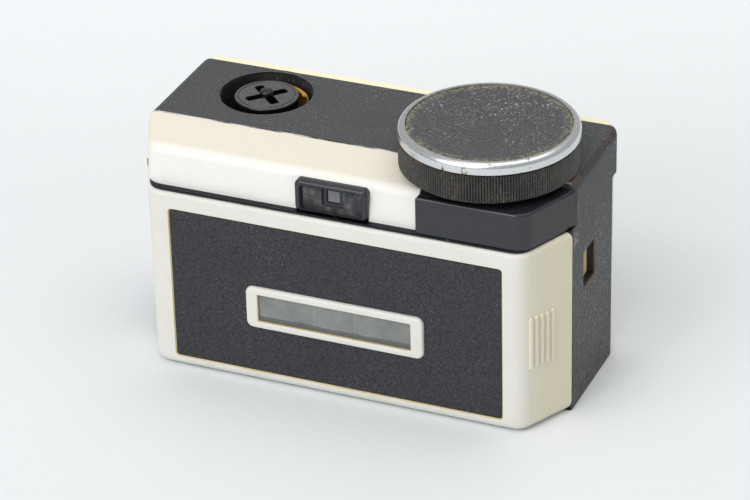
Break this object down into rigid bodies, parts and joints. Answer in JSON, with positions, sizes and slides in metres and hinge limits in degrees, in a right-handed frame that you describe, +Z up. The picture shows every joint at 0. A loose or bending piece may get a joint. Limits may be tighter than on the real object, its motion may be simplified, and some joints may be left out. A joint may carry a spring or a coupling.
{
  "type": "cartridge film camera",
  "caption": "Compact drop-in-cartridge film camera with a clockwork winding knob, flash cube socket, hinged back with film window, eyepiece and a fixed lens.",
  "frame": {"origin": "centre of the tripod socket's mouth, on the base plane", "axes": "+Z up, +Y forward along the lens axis, +X to the right as seen from behind"},
  "size_m": [0.1122, 0.0615, 0.0726],
  "materials": {
    "cream_plastic": "satin pale cream moulding, slightly yellowed at its edges",
    "black_plastic": "satin black moulding",
    "gloss_black": "polished black moulding",
    "leatherette": "fine grained black covering sheet with pale scuffs",
    "chrome_trim": "bright plated ring with light scratches",
    "steel": "plain steel",
    "black_steel": "black painted sheet steel",
    "brass": "dull yellow brass",
    "clear_plastic": "clear plastic, slightly grey",
    "lens_glass": "clear lens glass"
  },
  "bodies": {
    "body": {"base_plate": "black_steel", "base_screws": "steel", "tripod_bush": "brass", "body_shell": "black_plastic", "film_chamber": "black_plastic", "side_trim_left": "leatherette", "side_trim_right": "leatherette", "hinge_pin": "steel", "release_leaf": "steel", "deck_plate": "black_steel", "top_housing": "black_plastic", "top_trim": "leatherette", "housing_screws": "steel", "rear_panel": "cream_plastic", "motor_housing": "gloss_black", "eyepiece_frame": "gloss_black", "eyepiece_lens": "clear_plastic", "finder_tube": "black_plastic", "finder_window": "clear_plastic", "flash_cup": "black_plastic", "flash_contacts": "brass", "detent_spring": "steel", "arbor_bush": "brass", "front_cover": "cream_plastic", "front_trim": "leatherette", "lens_barrel": "black_plastic", "lens_ring": "chrome_trim", "lens_retainer": "black_plastic", "front_lens": "lens_glass", "rear_lens": "lens_glass", "shutter_plate": "black_steel", "shutter_screws": "steel", "blade_pivot": "steel", "return_spring": "steel", "feeler_leaf": "brass"},
    "door": {"rear_door": "cream_plastic", "door_inlay": "leatherette", "window_pane": "clear_plastic", "cartridge_springs": "steel"},
    "knob": {"knob_body": "black_plastic", "knob_ring": "chrome_trim", "knob_disc": "leatherette", "knob_screw": "steel", "winding_arbor": "steel"},
    "barrel": {"spring_barrel": "brass", "barrel_cover": "brass", "mainspring": "steel"},
    "take_up": {"take_up_fork": "steel"},
    "drum": {"flash_drum": "gloss_black", "index_wheel": "steel"},
    "release": {"shutter_release": "gloss_black"},
    "blade": {"shutter_blade": "black_steel"},
    "feeler": {"film_feeler": "steel"},
    "latch": {"door_release": "cream_plastic"}
  },
  "joints": [
    {"name": "door_hinge", "type": "hinge", "parent": "body", "child": "door", "pos_m": [-0.0541, -0.012, 0.025], "axis": [0, 0, -1], "range_deg": [0, 105]},
    {"name": "knob_wind", "type": "hinge", "parent": "body", "child": "knob", "pos_m": [0.0329, -0.0056, 0.066], "axis": [0, 0, -1], "continuous": true},
    {"name": "barrel_spin", "type": "hinge", "parent": "body", "child": "barrel", "pos_m": [0.0329, -0.0056, 0.055], "axis": [0, 0, 1], "continuous": true},
    {"name": "spool_spin", "type": "hinge", "parent": "body", "child": "take_up", "pos_m": [0.0295, -0.01447, 0.05], "axis": [0, 0, 1], "continuous": true},
    {"name": "drum_turn", "type": "hinge", "parent": "body", "child": "drum", "pos_m": [-0.0324, 0.0095, 0.058], "axis": [0, 0, 1], "continuous": true},
    {"name": "release_press", "type": "slide", "parent": "body", "child": "release", "axis": [0, 0, -1], "range_m": [0, 0.004], "stiffness_N_per_m": 250, "deforming": ["return_spring"]},
    {"name": "blade_swing", "type": "hinge", "parent": "body", "child": "blade", "pos_m": [0.009, 0.0164, 0.0314], "axis": [0, 1, 0], "range_deg": [0, 32], "stiffness_Nm_per_rad": 0.002},
    {"name": "feeler_press", "type": "slide", "parent": "body", "child": "feeler", "axis": [0, 1, 0], "range_m": [0, 0.0012], "stiffness_N_per_m": 150},
    {"name": "latch_press", "type": "slide", "parent": "body", "child": "latch", "axis": [-1, 0, 0], "range_m": [0, 0.0015], "stiffness_N_per_m": 200}
  ],
  "couplings": [
    {"joint": "spool_spin", "follows": "barrel_spin", "ratio": -0.9}
  ]
}
